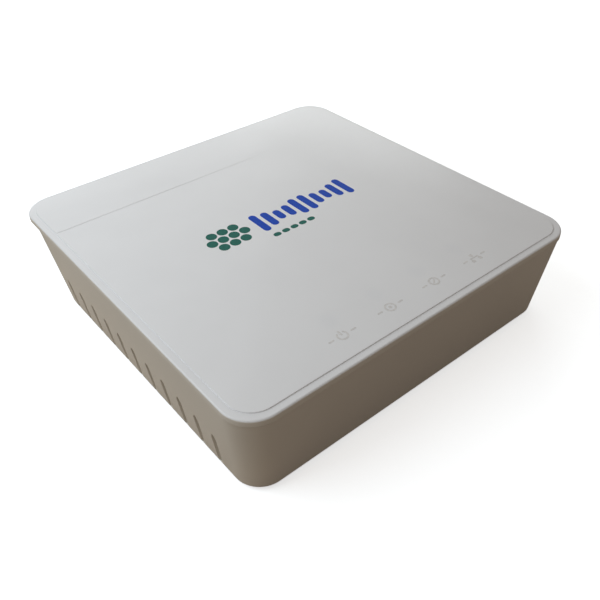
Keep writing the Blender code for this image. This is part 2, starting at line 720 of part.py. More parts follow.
def make_jack_shield():
    """A folded sheet over the housing, open in front and underneath."""
    x, sheet = NETWORK_X, 0.3
    top = SEAT + JACK_HEIGHT
    bm = bmesh.new()
    add_box(bm, (x - JACK_HALF_X, JACK_REAR, SEAT), (x + JACK_HALF_X, SOCKET_FACE, top))
    shield = make_part("lan_jack_shield", bm, "tin")
    hollow = bmesh.new()
    inner = JACK_HALF_X - sheet
    low = (x - inner, JACK_REAR + sheet, SEAT - BEYOND)
    high = (x + inner, SOCKET_FACE + BEYOND, top - sheet)
    add_box(hollow, low, high)
    combine(shield, hollow, "DIFFERENCE")


def make_network_jack():
    """An eight-way modular jack: housing, sheet shield and eight sprung contacts."""
    cavity_floor = SEAT + 2.4
    cavity_ceiling = SEAT + 10.5
    rear = JACK_REAR + 3.5
    make_jack_housing(cavity_floor, cavity_ceiling, rear)
    make_jack_shield()
    run_z = cavity_ceiling - 0.5
    leg_y = rear - 1.6
    fold_y = SOCKET_FACE - 2.4
    path = [(leg_y, SEAT), (leg_y, run_z), (fold_y - 0.6, run_z), (fold_y, run_z - 0.4)]
    path += [(fold_y - 0.3, run_z - 1.0), (fold_y - 6.3, run_z - 2.9)]
    count, pitch, half_wide, thick = 8, 1.02, 0.23, 0.3
    for i in range(count):
        middle = NETWORK_X + pitch * (i - (count - 1) / 2)
        contact = bmesh.new()
        add_strip(contact, middle - half_wide, middle + half_wide, path, thick)
        make_part(f"lan_contact_{i + 1}", contact, "gold")


def make_power_inlet():
    """A barrel jack: housing, centre pin and side spring."""
    x, z, rear = POWER_X, POWER_Z, INLET_REAR
    bore_floor, bore_radius, tail_radius = 40.0, 3.2, 1.3
    mouth = SOCKET_FACE + BEYOND
    bm = bmesh.new()
    add_box(bm, (x - INLET_HALF_X, rear, SEAT), (x + INLET_HALF_X, SOCKET_FACE, SEAT + INLET_HEIGHT))
    housing = make_part("dc_jack_housing", bm, "black_resin")
    bore = bmesh.new()
    profile = [(0, rear - BEYOND), (tail_radius, rear - BEYOND), (tail_radius, bore_floor)]
    profile += [(bore_radius, bore_floor), (bore_radius, mouth), (0, mouth)]
    add_turned(bore, (x, 0, z), (0, 1, 0), profile, 24)
    combine(housing, bore, "DIFFERENCE")
    slot = bmesh.new()
    slot_floor = SEAT + 0.8
    add_box(slot, (x - 1.3, bore_floor - 1, slot_floor), (x + 1.3, SOCKET_FACE - 1.7, z - 2.2))
    combine(housing, slot, "DIFFERENCE")

    pin_radius, pin_front = 1.0, SOCKET_FACE - 0.8
    pin = bmesh.new()
    profile = [(0, rear + 1.3), (pin_radius, rear + 1.3), (pin_radius, pin_front - 0.5)]
    profile += [(pin_radius - 0.4, pin_front), (0, pin_front)]
    add_turned(pin, (x, 0, z), (0, 1, 0), profile, 12)
    make_part("dc_jack_pin", pin, "tin", smooth=True)
    base = slot_floor + 0.6
    path = [(bore_floor - 0.4, base), (bore_floor + 5.6, base), (bore_floor + 6.4, base + 0.5)]
    path += [(bore_floor + 6.0, base + 1.1), (bore_floor + 2.6, base + 2.1)]
    spring = bmesh.new()
    add_strip(spring, x - 0.9, x + 0.9, path, 0.3)
    make_part("dc_jack_spring", spring, "tin")


def make_power_switch():
    """A latching push switch, its square plunger and the button cap that shows in the back wall."""
    x, z = SWITCH_X, SWITCH_Z
    rear, face, half, height = 31.0, 42.5, 4.2, 9.6
    bar_half, bar_rear, socket_floor = 1.5, 36.0, 48.0
    socket_half = bar_half + GAP
    bm = bmesh.new()
    add_box(bm, (x - half, rear, SEAT), (x + half, face, SEAT + height))
    body = make_part("power_switch", bm, "black_resin")
    bore = bmesh.new()
    bore_rear = bar_rear - BUTTON_TRAVEL - 0.4
    low = (x - socket_half, bore_rear, z - socket_half)
    high = (x + socket_half, face + BEYOND, z + socket_half)
    add_box(bore, low, high)
    combine(body, bore, "DIFFERENCE")

    plunger = bmesh.new()
    low = (x - bar_half, bar_rear, z - bar_half)
    high = (x + bar_half, socket_floor - 0.4, z + bar_half)
    add_box(plunger, low, high)
    make_part("switch_plunger", plunger, "ceramic", (x, bar_rear, z))

    flange_rear, flange_front, flange_half, front = 45.4, 46.6, 4.7, 52.25
    cap = bmesh.new()
    stations = [
        (socket_floor, socket_half, 0.2), (flange_rear, socket_half, 0.2),
        (flange_rear, flange_half, 1.0), (flange_front, flange_half, 1.0),
        (flange_front, BUTTON_HALF, 1.2), (front - 0.45, BUTTON_HALF, 1.2),
        (front - 0.15, BUTTON_HALF - 0.1, 1.15), (front, BUTTON_HALF - 0.4, 1.0),
    ]
    add_loft(cap, [upright_ring(x, z, size, size, radius, y) for y, size, radius in stations])
    make_part("power_button", cap, "black_resin", (x, flange_rear, z), smooth=True)


def make_reset_switch():
    """A side-pressed switch behind the pinhole, with its small plunger."""
    x, z = RESET_X, RESET_Z
    rear, face, half, height = 40.6, 44.3, 3.2, 4.6
    radius, plunger_rear, plunger_front = 0.9, 42.6, 46.6
    bm = bmesh.new()
    add_box(bm, (x - half, rear, SEAT), (x + half, face, SEAT + height))
    body = make_part("reset_switch", bm, "black_resin")
    bore = bmesh.new()
    bore_rear = plunger_rear - RESET_TRAVEL - 0.5
    add_rod(bore, (x, 0, z), (0, 1, 0), radius + GAP, bore_rear, face + BEYOND)
    combine(body, bore, "DIFFERENCE")
    plunger = bmesh.new()
    profile = [(0, plunger_rear), (radius, plunger_rear), (radius, plunger_front - 0.2)]
    profile += [(radius - 0.2, plunger_front), (0, plunger_front)]
    add_turned(plunger, (x, 0, z), (0, 1, 0), profile, 12)
    make_part("reset_plunger", plunger, "ceramic", (x, plunger_rear, z), smooth=True)


def clear_scene():
    for obj in list(bpy.data.objects):
        bpy.data.objects.remove(obj, do_unlink=True)


def main():
    clear_scene()
    make_top_cover()
    make_bottom_case()
    make_feet()
    make_screws()
    make_rating_label()
    make_main_board()
    make_chips()
    make_heat_sink()
    make_rf_shield()
    make_power_parts()
    make_lights()
    make_light_guide()
    make_optical_port()
    make_optical_module()
    make_network_jack()
    make_power_inlet()
    make_power_switch()
    make_reset_switch()


main()
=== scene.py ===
import json
import math

import bmesh
import bpy
from mathutils import Matrix, Vector


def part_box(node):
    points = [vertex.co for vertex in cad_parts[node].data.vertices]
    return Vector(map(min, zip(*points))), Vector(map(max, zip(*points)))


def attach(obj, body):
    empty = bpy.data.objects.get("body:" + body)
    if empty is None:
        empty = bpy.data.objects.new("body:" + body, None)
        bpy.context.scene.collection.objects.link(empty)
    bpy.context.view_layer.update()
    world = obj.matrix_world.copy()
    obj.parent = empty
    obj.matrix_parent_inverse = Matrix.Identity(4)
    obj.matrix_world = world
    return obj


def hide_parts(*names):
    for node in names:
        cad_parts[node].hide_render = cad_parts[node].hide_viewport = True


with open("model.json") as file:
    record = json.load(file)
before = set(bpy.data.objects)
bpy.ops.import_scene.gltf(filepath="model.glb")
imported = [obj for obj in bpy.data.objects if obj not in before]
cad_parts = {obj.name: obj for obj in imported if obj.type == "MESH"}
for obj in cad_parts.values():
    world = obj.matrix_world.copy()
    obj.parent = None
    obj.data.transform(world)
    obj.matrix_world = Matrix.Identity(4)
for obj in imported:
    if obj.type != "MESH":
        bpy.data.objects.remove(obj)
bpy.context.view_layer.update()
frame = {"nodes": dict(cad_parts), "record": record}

# Looks of the optical network terminal. Lengths in the helpers are millimetres, and the scene is in
# metres. +Z is up, the indicator side faces -Y and the sockets face +Y. Every piece is drawn in place.

MM = 0.001
CHASSIS = "chassis"
UP = (0, 0, 1)
CORNER_STEPS = 14
TURN_STEPS = 48


def span(node):
    """Lowest and highest corner of a CAD node, in millimetres."""
    low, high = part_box(node)
    return low / MM, high / MM


def middle(node):
    """Centre of a CAD node's box, in millimetres."""
    low, high = span(node)
    return (low + high) / 2


# Driving dimensions
COVER_LOW, COVER_HIGH = span("top_cover")
CASE_LOW, _ = span("bottom_case")
COVER_HALF = COVER_HIGH.x
CASE_BOTTOM = CASE_LOW.z
GAP = 0.3                      # clearance round a part in its opening
WALL = 2.0
FLOOR_TOP = CASE_BOTTOM + WALL

# Cover
PLATEAU_RISE = 0.25
INK = 0.02                     # thickness of the printing
PLATEAU_TOP = COVER_HIGH.z - INK
RIM = COVER_HIGH.z - PLATEAU_RISE
RIM_HEIGHT = 1.75
RIM_BOTTOM = RIM - RIM_HEIGHT
CEILING = RIM - WALL
EDGE_ROUND = 0.5
COVER_CORNER = 7.8
PLATEAU_INSET = 1.95
PLATEAU_CORNER = 6.2
LIP_SETBACK = 3.1              # from the cover's edge to the lip under it
LIP_CORNER = COVER_CORNER - LIP_SETBACK
LIP_BACK_CORNER = 9.2
BOSS_RADIUS = 3.0

# Case walls, which lean in towards the floor
SEAM = 0.12                    # visible gap between the two shells
WALL_TOP = RIM_BOTTOM - SEAM
WALL_SETBACK = 0.22            # from the cover's edge to the top of the wall
WALL_HALF = COVER_HALF - WALL_SETBACK
WALL_CORNER = COVER_CORNER - WALL_SETBACK
WALL_BACK_CORNER = 12.0
CORNER_TIGHTEN = 0.72          # the front corners' radius shrinks by this much towards the floor
SIDE_LEAN = 2.68
FRONT_LEAN = 2.78
BACK_LEAN = 4.38
FLOOR_EDGE = 0.5

# Indicator lights
LIGHT_NAMES = ("power", "optical", "loss", "network")
LIGHT_X = [middle(f"led_{name}").x for name in LIGHT_NAMES]
LIGHT_Y = middle("led_power").y

# Colours and light
COVER_COLOUR = (0.733, 0.754, 0.793)
# The case is the cover's white plastic, made warmer and darker here as painted warm bounce light and shade.
CASE_WHITE_WITH_PAINTED_BOUNCE = (0.70, 0.665, 0.605)
WHITE = (1.0, 1.0, 1.0)
AMBIENT = 0.339
AMBIENT_COLOUR = (1.0, 0.895, 0.785)
CASE_MIDDLE = (0, 0, 20)
LIGHTS = (                     # name, place, aim, size, power, colour
    ("window_light", (-163, 59, 193), CASE_MIDDLE, 220, 0.348, (0.92, 0.98, 1.0)),
    ("rear_light", (87, 325, 116), CASE_MIDDLE, 220, 0.228, (0.95, 0.99, 1.0)),
    ("far_light", (315, 315, 83), CASE_MIDDLE, 220, 0.532, (0.95, 1.0, 1.0)),
    ("under_light", (0, 0, -420), (0, 0, 0), 420, 1.0, WHITE),
)

# Floor: its colour to the camera, and the light that it throws back at the case, which changes along X
FLOOR_SEEN = (0.84, 0.90, 0.97)
FLOOR_LIFT = 0.62              # how much of the floor's brightness near the case is its own
FLOOR_FADE = (70.0, 220.0)     # distances between which it turns white
FLOOR_BOUNCE = (0.20, 0.15, 0.12)
FLOOR_BANDS = (                # from and to X, colour beyond it
    ((-46.0, -53.0), (0.42, 0.35, 0.28)),
    ((-60.0, -80.0), (0.15, 0.12, 0.085)),
    ((25.0, 65.0), (0.30, 0.25, 0.205)),
)


# Shapes, added to a bmesh in millimetres

def rounded_outline(half_u, half_v, radius, steps=CORNER_STEPS, back_radius=None):
    """A rounded rectangle about the origin, anticlockwise, as (u, v) points.

    back_radius, where given, rounds the two corners on the +v side instead of radius.
    """
    points = []
    for quarter, (side_u, side_v) in enumerate(((1, 1), (-1, 1), (-1, -1), (1, -1))):
        corner = radius if back_radius is None or side_v < 0 else back_radius
        for step in range(steps + 1):
            angle = math.radians(90 * (quarter + step / steps))
            u = side_u * (half_u - corner) + corner * math.cos(angle)
            v = side_v * (half_v - corner) + corner * math.sin(angle)
            points.append((u, v))
    return points


def level_ring(x0, x1, y0, y1, radius, z, steps=CORNER_STEPS, back_radius=None):
    """A rounded rectangle at one height."""
    outline = rounded_outline((x1 - x0) / 2, (y1 - y0) / 2, radius, steps, back_radius)
    return [((x0 + x1) / 2 + u, (y0 + y1) / 2 + v, z) for u, v in outline]


def upright_ring(x, z, half_x, half_z, radius, y, steps=8):
    """A rounded rectangle that faces along Y."""
    return [(x + u, y, z + v) for u, v in rounded_outline(half_x, half_z, radius, steps)]


def add_loft(bm, rings):
    """A closed body through rings of equal length, capped at both ends."""
    rows = [[bm.verts.new(point) for point in ring] for ring in rings]
    count = len(rows[0])
    for lower, upper in zip(rows, rows[1:]):
        for i in range(count):
            after = (i + 1) % count
            bm.faces.new((lower[i], lower[after], upper[after], upper[i]))
    bm.faces.new(reversed(rows[0]))
    bm.faces.new(rows[-1])


def add_prism(bm, outline, z0, z1):
    """An upright prism over an outline of (x, y) points."""
    add_loft(bm, [[(x, y, z) for x, y in outline] for z in (z0, z1)])


def add_turned(bm, centre, direction, profile, steps=TURN_STEPS):
    """A solid of revolution. profile lists (radius, distance along direction), from the axis to the axis."""
    turn = Vector(direction).to_track_quat("Z", "Y").to_matrix().to_4x4()
    place = Matrix.Translation(centre) @ turn
    angles = [2 * math.pi * i / steps for i in range(steps)]
    rings = []
    for radius, distance in profile[1:-1]:
        points = [(radius * math.cos(a), radius * math.sin(a), distance) for a in angles]
        rings.append([place @ Vector(point) for point in points])
    add_loft(bm, rings)


def add_rod(bm, centre, direction, radius, start, end, steps=TURN_STEPS):
    """A plain cylinder from start to end along direction."""
    add_turned(bm, centre, direction, [(0, start), (radius, start), (radius, end), (0, end)], steps)


def arc_steps(radius, steps):
    """(inset, drop) pairs round a quarter of a circle, from the side to the flat."""
    angles = [math.radians(90 * i / steps) for i in range(steps + 1)]
    return [(radius * (1 - math.cos(a)), radius * (1 - math.sin(a))) for a in angles]


# Pieces

def make_mesh(name, bm, smooth_angle=35):
    """Turns a bmesh in millimetres into an object at the origin."""
    bmesh.ops.recalc_face_normals(bm, faces=bm.faces)
    bmesh.ops.scale(bm, verts=bm.verts, vec=(MM, MM, MM))
    mesh = bpy.data.meshes.new(name)
    bm.to_mesh(mesh)
    bm.free()
    obj = bpy.data.objects.new(name, mesh)
    bpy.context.scene.collection.objects.link(obj)
    soften(obj, smooth_angle)
    return obj


def soften(obj, smooth_angle):
    """Smooth shading, with sharp edges where faces meet at more than the angle."""
    obj.data.shade_smooth()
    obj.data.set_sharp_from_angle(angle=math.radians(smooth_angle))


def combine(obj, bm, operation, smooth_angle=35):
    """Adds or cuts the shapes in bm, and keeps only the result."""
    tool = make_mesh(f"{obj.name}_tool", bm)
    modifier = obj.modifiers.new("combine", "BOOLEAN")
    modifier.operation = operation
    modifier.solver = "EXACT"
    modifier.object = tool
    shapes = bpy.context.evaluated_depsgraph_get()
    result = bpy.data.meshes.new_from_object(obj.evaluated_get(shapes))
    obj.modifiers.clear()
    obj.data = result
    bpy.data.objects.remove(tool)
    soften(obj, smooth_angle)


def finish_piece(obj, look, body, material_slot, *nodes):
    """Gives the piece its look and its body, and hides the CAD nodes it stands for."""
    obj.data.materials.clear()
    obj.data.materials.append(look)
    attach(obj, body)
    if nodes:
        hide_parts(*nodes)


# Materials

class Look:
    """A node material, with short calls that add nodes to it. Distances are millimetres."""

    def __init__(self, name):
        self.material = bpy.data.materials.new(name)
        self.material.use_nodes = True
        self.nodes = self.material.node_tree.nodes
        self.links = self.material.node_tree.links
        self.shader = self.nodes["Principled BSDF"]
        coordinates = self.nodes.new("ShaderNodeTexCoord")
        self.place = self.vector("SCALE", coordinates.outputs["Object"], scale=1 / MM)

    def put(self, socket, value):
        """Links an output to the input, or sets it."""
        if isinstance(value, bpy.types.NodeSocket):
            self.links.new(value, socket)
        elif isinstance(value, tuple) and len(value) == 3 and socket.type == "RGBA":
            socket.default_value = (*value, 1.0)
        else:
            socket.default_value = value

    def vector(self, operation, a, b=None, scale=None):
        """Vector arithmetic."""
        node = self.nodes.new("ShaderNodeVectorMath")
        node.operation = operation
        self.put(node.inputs[0], a)
        if b is not None:
            self.put(node.inputs[1], b)
        if scale is not None:
            self.put(node.inputs["Scale"], scale)
        return node.outputs["Value" if operation in ("DOT_PRODUCT", "LENGTH") else "Vector"]

    def math(self, operation, a, b=0.0):
        """Arithmetic."""
        node = self.nodes.new("ShaderNodeMath")
        node.operation = operation
        self.put(node.inputs[0], a)
        self.put(node.inputs[1], b)
        return node.outputs[0]

    def axes(self, vector=None):
        """The three parts of a vector, or of the place on the object."""
        node = self.nodes.new("ShaderNodeSeparateXYZ")
        self.put(node.inputs[0], vector or self.place)
        return node.outputs

    def stretched(self, x, y, z):
        """The place, scaled along each axis, so that patterns stretch."""
        return self.vector("MULTIPLY", self.place, (x, y, z))

    def noise(self, size, detail=3.0, roughness=0.55, place=None):
        """Noise from 0 to 1 whose blobs are about size millimetres across."""
        node = self.nodes.new("ShaderNodeTexNoise")
        self.put(node.inputs["Vector"], place or self.place)
        node.inputs["Scale"].default_value = 1 / size
        node.inputs["Detail"].default_value = detail
        node.inputs["Roughness"].default_value = roughness
        return node.outputs["Fac"]

    def cells(self, size):
        """Distance to the nearest of scattered points about size millimetres apart."""
        node = self.nodes.new("ShaderNodeTexVoronoi")
        self.put(node.inputs["Vector"], self.place)
        node.inputs["Scale"].default_value = 1 / size
        return node.outputs["Distance"]

    def ramp(self, value, low, high, to_low=0.0, to_high=1.0):
        """Maps low..high to to_low..to_high with a smooth step."""
        node = self.nodes.new("ShaderNodeMapRange")
        node.interpolation_type = "SMOOTHSTEP"
        self.put(node.inputs["Value"], value)
        names = ("From Min", "From Max", "To Min", "To Max")
        for name, number in zip(names, (low, high, to_low, to_high)):
            self.put(node.inputs[name], number)
        return node.outputs["Result"]

    def mix(self, factor, a, b):
        """A colour between a and b."""
        node = self.nodes.new("ShaderNodeMix")
        node.data_type = "RGBA"
        self.put(node.inputs["Factor"], factor)
        self.put(node.inputs[6], a)
        self.put(node.inputs[7], b)
        return node.outputs[2]

    def soft_normal(self, radius):
        """The normal as if each edge were rounded off by radius."""
        node = self.nodes.new("ShaderNodeBevel")
        node.samples = 4
        node.inputs["Radius"].default_value = radius * MM
        return node.outputs["Normal"]

    def edges(self, radius):
        """Near 1 on the object's edges and 0 on its flats."""
        geometry = self.nodes.new("ShaderNodeNewGeometry")
        match = self.vector("DOT_PRODUCT", self.soft_normal(radius), geometry.outputs["Normal"])
        return self.ramp(match, 1.0, 0.8)

    def bump(self, height, depth, normal=None):
        """A normal from a height of 0 to 1 that stands for depth millimetres."""
        node = self.nodes.new("ShaderNodeBump")
        node.inputs["Strength"].default_value = 1.0
        node.inputs["Distance"].default_value = depth * MM
        self.put(node.inputs["Height"], height)
        if normal is not None:
            self.put(node.inputs["Normal"], normal)
        return node.outputs["Normal"]

    def set(self, **inputs):
        """Principled inputs, by name with _ for a space."""
        for name, value in inputs.items():
            self.put(self.shader.inputs[name.replace("_", " ")], value)
        return self.material


def scaled(colour, factor, lift=0.0):
    """A lighter or darker colour."""
    return tuple(min(1.0, c * factor + lift) for c in colour)


def varied(look, colour, amount, size):
    """The colour, lighter and darker by the amount in soft patches."""
    patches = look.ramp(look.noise(size, 2.0), 0.3, 0.7)
    return look.mix(patches, scaled(colour, 1 - amount), scaled(colour, 1 + amount))


def moulded_plastic(name, colour, roughness, grain=0.25, depth=0.006, edge=0.15, dust=0.04):
    """Moulded plastic: spark-eroded grain, soft edges a little lighter in colour, patches of duller gloss,
    and a little dust.
    """
    look = Look(name)
    unevenness = 0.01
    base = varied(look, colour, unevenness, 18.0)
    specks = look.ramp(look.cells(2.6), 0.045, 0.02, 0.0, dust * 4)
    base = look.mix(specks, base, scaled(colour, 0.55))
    lighter_edges = look.math("MULTIPLY", look.edges(edge * 1.6), 0.22)
    base = look.mix(lighter_edges, base, scaled(colour, 1.12, 0.01))
    dull = look.noise(7.0, 4.0)
    polish = look.ramp(dull, 0.25, 0.75, roughness - unevenness, roughness + unevenness)
    coarse = look.math("MULTIPLY", look.noise(grain * 2.7, 2.0), 0.5)
    height = look.math("ADD", look.noise(grain, 2.0), coarse)
    normal = look.bump(height, depth, look.soft_normal(edge))
    look.set(Base_Color=base, Roughness=polish, Normal=normal, IOR=1.5)
    return look


def metal(name, colour, roughness, stretch=(1, 1, 1), grain=0.12, depth=0.002, edge=0.08):
    """Metal: fine drawn lines, dull patches, and brighter edges."""
    look = Look(name)
    patches = look.ramp(look.noise(2.2, 5.0), 0.35, 0.7)
    base = look.mix(patches, colour, scaled(colour, 0.85))
    base = look.mix(look.edges(edge * 1.5), base, scaled(colour, 1.1, 0.03))
    lines = look.noise(grain, 3.0, 0.6, look.stretched(*stretch))
    dull = look.ramp(patches, 0, 1, roughness, roughness + 0.12)
    polish = look.math("ADD", dull, look.math("MULTIPLY", lines, 0.1))
    normal = look.bump(lines, depth, look.soft_normal(edge))
    look.set(Base_Color=base, Metallic=1.0, Roughness=polish, Normal=normal)
    return look


def light_spots(look):
    """Near 1 over each indicator light, and 0 elsewhere."""
    x, y, _ = look.axes()
    pitch = LIGHT_X[1] - LIGHT_X[0]
    from_first = look.math("SUBTRACT", x, LIGHT_X[0] - pitch / 2)
    along = look.math("SUBTRACT", look.math("FLOORED_MODULO", from_first, pitch), pitch / 2)
    across = look.math("MULTIPLY", look.math("SUBTRACT", y, LIGHT_Y), 0.8)
    squares = look.math("ADD", look.math("POWER", along, 2), look.math("POWER", across, 2))
    spot = look.ramp(look.math("SQRT", squares), 3.0, 0.8)
    row_middle = (LIGHT_X[0] + LIGHT_X[-1]) / 2
    from_middle = look.math("ABSOLUTE", look.math("SUBTRACT", x, row_middle))
    outside = look.math("GREATER_THAN", from_middle, pitch * 2)
    return look.math("MULTIPLY", spot, look.math("SUBTRACT", 1.0, outside))


def cover_look():
    """Off-white cover, with painted warm bounce light and shade in the case's colour down its side-facing
    skirt, and a shade darker over each light.
    """
    look = moulded_plastic("cover_white", COVER_COLOUR, 0.40, grain=0.22, depth=0.0035, dust=0.01)
    base = look.shader.inputs["Base Color"].links[0].from_socket
    shade = look.mix(look.math("MULTIPLY", light_spots(look), 0.05), base, (0.45, 0.50, 0.62))
    facing = look.nodes.new("ShaderNodeNewGeometry")
    # Faces that turn sideways, the skirt, take the case's warm colour: painted bounce light and shade.
    upper = look.ramp(look.axes(facing.outputs["Normal"])[2], 0.2, 0.65)
    height = look.axes()[2]
    upper = look.math("MAXIMUM", upper, look.ramp(height, RIM - 0.12, RIM - 0.02))
    look.set(Base_Color=look.mix(upper, CASE_WHITE_WITH_PAINTED_BOUNCE, shade))
    return look.material


def rubber_look():
    """Matt black rubber with a grey bloom and dust."""
    look = Look("foot_rubber")
    grey = look.ramp(look.noise(1.2, 5.0), 0.3, 0.8)
    base = look.mix(grey, (0.018, 0.018, 0.019), (0.05, 0.05, 0.048))
    dust = look.ramp(look.noise(0.5, 4.0), 0.55, 0.8, 0.0, 0.35)
    base = look.mix(dust, base, (0.16, 0.15, 0.14))
    normal = look.bump(look.noise(0.35, 3.0), 0.03, look.soft_normal(0.2))
    return look.set(Base_Color=base, Roughness=0.82, Normal=normal)


def board_look():
    """Solder mask over copper: traces that change direction from block to block, and plated holes whose open
    centres are painted dark as shade.
    """
    look = Look("board_green")
    blocks = look.nodes.new("ShaderNodeTexVoronoi")
    blocks.distance = "CHEBYCHEV"
    look.put(blocks.inputs["Vector"], look.place)
    blocks.inputs["Scale"].default_value = 1 / 9.0
    x, y, _ = look.axes()
    turned = look.math("GREATER_THAN", look.axes(blocks.outputs["Color"])[0], 0.5)
    run = look.mix(turned, x, y)
    track = look.math("PINGPONG", run, 0.45)
    copper = look.ramp(track, 0.24, 0.2)
    empty = look.ramp(look.axes(blocks.outputs["Color"])[1], 0.35, 0.4)
    copper = look.math("MULTIPLY", copper, empty)
    holes = look.cells(3.1)
    base = look.mix(copper, (0.012, 0.085, 0.035), (0.02, 0.17, 0.065))
    plated = look.ramp(holes, 0.10, 0.09)
    base = look.mix(plated, base, (0.62, 0.50, 0.26))
    # Each hole's open centre is a near-black dot: painted shade standing in for the hole.
    base = look.mix(look.ramp(holes, 0.055, 0.05), base, (0.01, 0.01, 0.01))
    height = look.math("ADD", copper, look.math("MULTIPLY", look.noise(0.4), 0.2))
    polish = look.ramp(look.noise(3.0), 0.3, 0.7, 0.28, 0.42)
    return look.set(Base_Color=base, Roughness=polish, Metallic=plated, Normal=look.bump(height, 0.03))


def label_look():
    """Satin paper with a printed frame and blank ruled bars."""
    look = Look("label_paper")
    low, high = span("rating_label")
    x, y, _ = look.axes()
    from_edge = look.math("MINIMUM", look.math("SUBTRACT", x, low.x), look.math("SUBTRACT", high.x, x))
    from_end = look.math("MINIMUM", look.math("SUBTRACT", y, low.y), look.math("SUBTRACT", high.y, y))
    inward = look.math("MINIMUM", from_edge, from_end)
    border = look.math("MULTIPLY", look.ramp(inward, 1.3, 1.4), look.ramp(inward, 1.75, 1.65))
    bars = look.ramp(look.math("PINGPONG", look.math("ADD", y, 1.0), 2.0), 0.42, 0.36)
    bars = look.math("MULTIPLY", bars, look.ramp(inward, 3.4, 3.5))
    ink = look.math("MAXIMUM", border, bars)
    ink = look.math("MULTIPLY", ink, look.ramp(look.noise(0.3, 2.0), 0.2, 0.35, 0.75, 0.95))
    base = look.mix(ink, varied(look, (0.80, 0.80, 0.78), 0.02, 6.0), (0.10, 0.11, 0.12))
    normal = look.bump(look.noise(0.15, 4.0), 0.006, look.soft_normal(0.1))
    return look.set(Base_Color=base, Roughness=0.5, Normal=normal)


def clear_look():
    """Clear acrylic with faint flow lines."""
    look = Look("guide_acrylic")
    polish = look.ramp(look.noise(2.0, 4.0), 0.3, 0.7, 0.05, 0.16)
    tint = varied(look, (0.93, 0.96, 0.97), 0.02, 4.0)
    normal = look.bump(look.noise(1.5), 0.01, look.soft_normal(0.15))
    return look.set(Base_Color=tint, Roughness=polish, IOR=1.49, Transmission_Weight=0.9, Normal=normal)


def resin_look():
    """Yellow phosphor resin."""
    look = Look("led_resin")
    base = varied(look, (0.82, 0.76, 0.48), 0.06, 0.4)
    normal = look.bump(look.noise(0.2), 0.01, look.soft_normal(0.08))
    return look.set(Base_Color=base, Roughness=0.22, Transmission_Weight=0.25, Normal=normal)


def ink_look(name, colour):
    """Pad-printed ink: slightly uneven cover and a faint grain."""
    look = Look(name)
    look.put(look.shader.inputs["Specular IOR Level"], 0.12)
    base = varied(look, colour, 0.08, 0.8)
    normal = look.bump(look.noise(0.22, 2.0), 0.0035)
    return look.set(Base_Color=base, Roughness=0.6, Normal=normal)


PLASTICS = {                   # colour, roughness, then what differs from plain moulded plastic
    # case_white: the cover's white plastic, warmer and darker as painted warm bounce light and shade.
    "case_white": (CASE_WHITE_WITH_PAINTED_BOUNCE, 0.46, {"grain": 0.3, "depth": 0.005, "dust": 0.01}),
    "package_black": ((0.022, 0.022, 0.024), 0.5, {"grain": 0.12, "depth": 0.01, "edge": 0.08}),
    "adapter_green": ((0.015, 0.30, 0.10), 0.36, {}),
    "sleeve_ceramic": ((0.80, 0.78, 0.72), 0.2, {"grain": 0.1, "depth": 0.001, "edge": 0.1, "dust": 0.0}),
    "socket_black": ((0.02, 0.02, 0.022), 0.42, {"depth": 0.008, "edge": 0.12}),
    "button_black": ((0.028, 0.028, 0.03), 0.4, {"depth": 0.008, "edge": 0.2}),
    "plunger_white": ((0.80, 0.79, 0.74), 0.4, {"edge": 0.1}),
}
METALS = {                     # colour, roughness, then what differs from plain metal
    "screw_steel": ((0.60, 0.60, 0.57), 0.28, {"stretch": (1, 1, 6), "grain": 0.2}),
    "tinned_sheet": ((0.66, 0.66, 0.64), 0.3, {"stretch": (1, 8, 1)}),
    "sink_aluminium": ((0.68, 0.69, 0.70), 0.42, {"grain": 0.3, "depth": 0.01}),
    "can_aluminium": ((0.74, 0.74, 0.75), 0.3, {"stretch": (1, 1, 8)}),
    "module_steel": ((0.60, 0.60, 0.58), 0.26, {"stretch": (1, 8, 1)}),
    "can_gold": ((0.83, 0.62, 0.26), 0.22, {}),
    "contact_gold": ((0.86, 0.64, 0.25), 0.18, {"stretch": (1, 6, 1), "edge": 0.04}),
}
INKS = {
    "ink_green": (0.016, 0.13, 0.105),
    "ink_blue": (0.005, 0.06, 0.46),
    "ink_grey": (0.62, 0.62, 0.63),
}


def make_looks():
    """One material for each slot in the record."""
    looks = {
        "cover_white": cover_look(),
        "foot_rubber": rubber_look(),
        "label_paper": label_look(),
        "board_green": board_look(),
        "led_resin": resin_look(),
        "guide_acrylic": clear_look(),
    }
    for name, (colour, roughness, changes) in PLASTICS.items():
        looks[name] = moulded_plastic(name, colour, roughness, **changes).material
    for name, (colour, roughness, changes) in METALS.items():
        looks[name] = metal(name, colour, roughness, **changes).material
    for name, colour in INKS.items():
        looks[name] = ink_look(name, colour)
    return looks


# Case and cover

def wall_ring(z, inset=0.0):
    """The case wall's outline at a height, moved inwards by inset."""
    drop = (WALL_TOP - z) / (WALL_TOP - CASE_BOTTOM)
    half_x = WALL_HALF - SIDE_LEAN * drop - inset
    front = WALL_HALF - FRONT_LEAN * drop - inset
    back = WALL_HALF - BACK_LEAN * drop - inset
    radius = WALL_CORNER - CORNER_TIGHTEN * drop - inset
    return level_ring(-half_x, half_x, -front, back, radius, z, back_radius=WALL_BACK_CORNER - inset)


def cover_ring(z, inset, radius=None):
    """The cover's outline at a height, moved inwards by inset."""
    half = COVER_HALF - inset
    corner = COVER_CORNER - inset if radius is None else radius
    return level_ring(-half, half, -half, half, corner, z)


def spots_of(kind):
    """(x, y) of the four pieces of a kind."""
    centres = [middle(f"{kind}_{i + 1}") for i in range(4)]
    return [(centre.x, centre.y) for centre in centres]


def lip_ring(z, inset=0.0):
    """The outline of the lip under the cover, which follows the inside of the case wall."""
    half = COVER_HALF - LIP_SETBACK - inset
    back_radius = LIP_BACK_CORNER - inset
    return level_ring(-half, half, -half, half, LIP_CORNER - inset, z, back_radius=back_radius)


